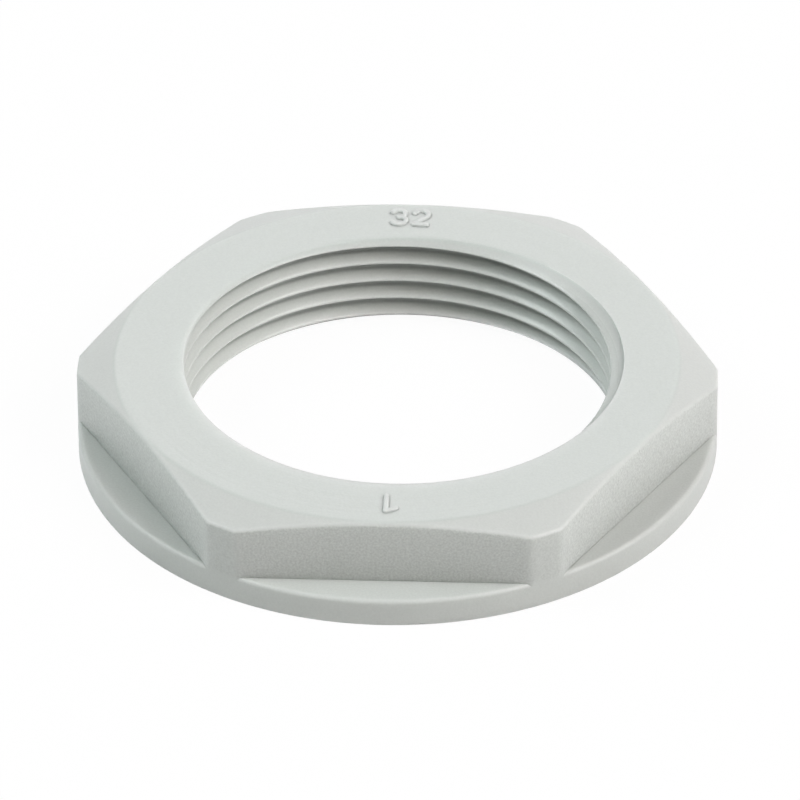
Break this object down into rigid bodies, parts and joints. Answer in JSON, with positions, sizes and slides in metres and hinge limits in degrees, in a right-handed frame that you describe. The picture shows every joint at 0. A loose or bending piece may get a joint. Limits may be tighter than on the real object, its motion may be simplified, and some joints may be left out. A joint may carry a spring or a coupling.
{
  "type": "cable gland locknut",
  "caption": "Moulded hexagonal locknut with a round flange and an internal fine thread, screwed on a cable gland's stem to clamp it to an enclosure wall.",
  "frame": {"origin": "centre of the bearing face, on the thread's axis", "axes": "+Z along the thread's axis from the bearing face to the top face; two of the spanner flats face -Y and +Y"},
  "size_m": [0.046, 0.046, 0.007],
  "materials": {
    "polyamide": "light grey moulded polyamide with a fine spark-eroded texture"
  },
  "bodies": {
    "root": {"locknut": "polyamide"}
  },
  "joints": []
}
